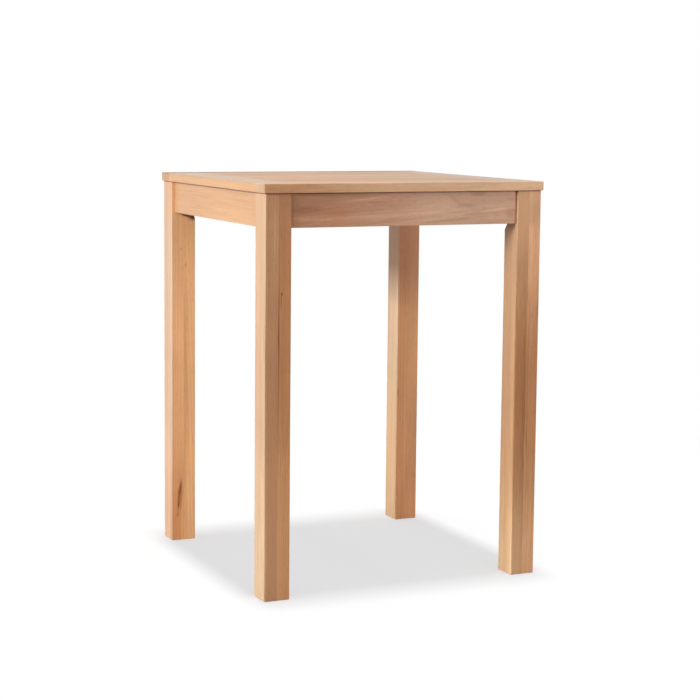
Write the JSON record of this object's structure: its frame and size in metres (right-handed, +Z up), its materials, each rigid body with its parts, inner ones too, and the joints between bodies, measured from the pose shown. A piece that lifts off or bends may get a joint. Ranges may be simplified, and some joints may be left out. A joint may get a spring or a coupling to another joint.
{
  "type": "outdoor bar table",
  "caption": "Square bar-height outdoor table of light hardwood: slatted top in a flat frame, aprons set back between straight square legs.",
  "frame": {"origin": "on the floor under the middle of the square top", "axes": "+X to the right along the front, +Y from front to back, +Z up through the top"},
  "size_m": [0.8, 0.8, 1.067],
  "materials": {
    "top_wood": "oiled hardwood, satin",
    "leg_wood": "oiled hardwood, satin",
    "apron_wood": "oiled hardwood, satin",
    "inner_wood": "planed hardwood, unfinished",
    "bolt_steel": "zinc plated",
    "screw_steel": "plain stainless"
  },
  "bodies": {
    "root": {"back_apron": "apron_wood", "back_cleat_screws": "screw_steel", "back_left_block_screws": "screw_steel", "back_left_bolt_nuts": "bolt_steel", "back_left_bolt_washers": "bolt_steel", "back_left_cleat": "inner_wood", "back_left_corner_block": "inner_wood", "back_left_hanger_bolts": "bolt_steel", "back_left_leg_inner_stave": "leg_wood", "back_left_leg_outer_stave": "leg_wood", "back_right_block_screws": "screw_steel", "back_right_bolt_nuts": "bolt_steel", "back_right_bolt_washers": "bolt_steel", "back_right_cleat": "inner_wood", "back_right_corner_block": "inner_wood", "back_right_hanger_bolts": "bolt_steel", "back_right_leg_inner_stave": "leg_wood", "back_right_leg_outer_stave": "leg_wood", "batten_screws": "screw_steel", "centre_batten": "inner_wood", "front_apron": "apron_wood", "front_cleat_screws": "screw_steel", "front_left_block_screws": "screw_steel", "front_left_bolt_nuts": "bolt_steel", "front_left_bolt_washers": "bolt_steel", "front_left_cleat": "inner_wood", "front_left_corner_block": "inner_wood", "front_left_hanger_bolts": "bolt_steel", "front_left_leg_inner_stave": "leg_wood", "front_left_leg_outer_stave": "leg_wood", "front_right_block_screws": "screw_steel", "front_right_bolt_nuts": "bolt_steel", "front_right_bolt_washers": "bolt_steel", "front_right_cleat": "inner_wood", "front_right_corner_block": "inner_wood", "front_right_hanger_bolts": "bolt_steel", "front_right_leg_inner_stave": "leg_wood", "front_right_leg_outer_stave": "leg_wood", "left_apron": "apron_wood", "left_back_cleat": "inner_wood", "left_cleat_screws": "screw_steel", "left_front_cleat": "inner_wood", "right_apron": "apron_wood", "right_back_cleat": "inner_wood", "right_cleat_screws": "screw_steel", "right_front_cleat": "inner_wood", "top_back_rail": "top_wood", "top_front_rail": "top_wood", "top_left_stile": "top_wood", "top_right_stile": "top_wood", "top_slat_1": "top_wood", "top_slat_2": "top_wood", "top_slat_3": "top_wood", "top_slat_4": "top_wood", "top_slat_5": "top_wood", "top_slat_6": "top_wood", "top_slat_7": "top_wood"}
  },
  "joints": []
}
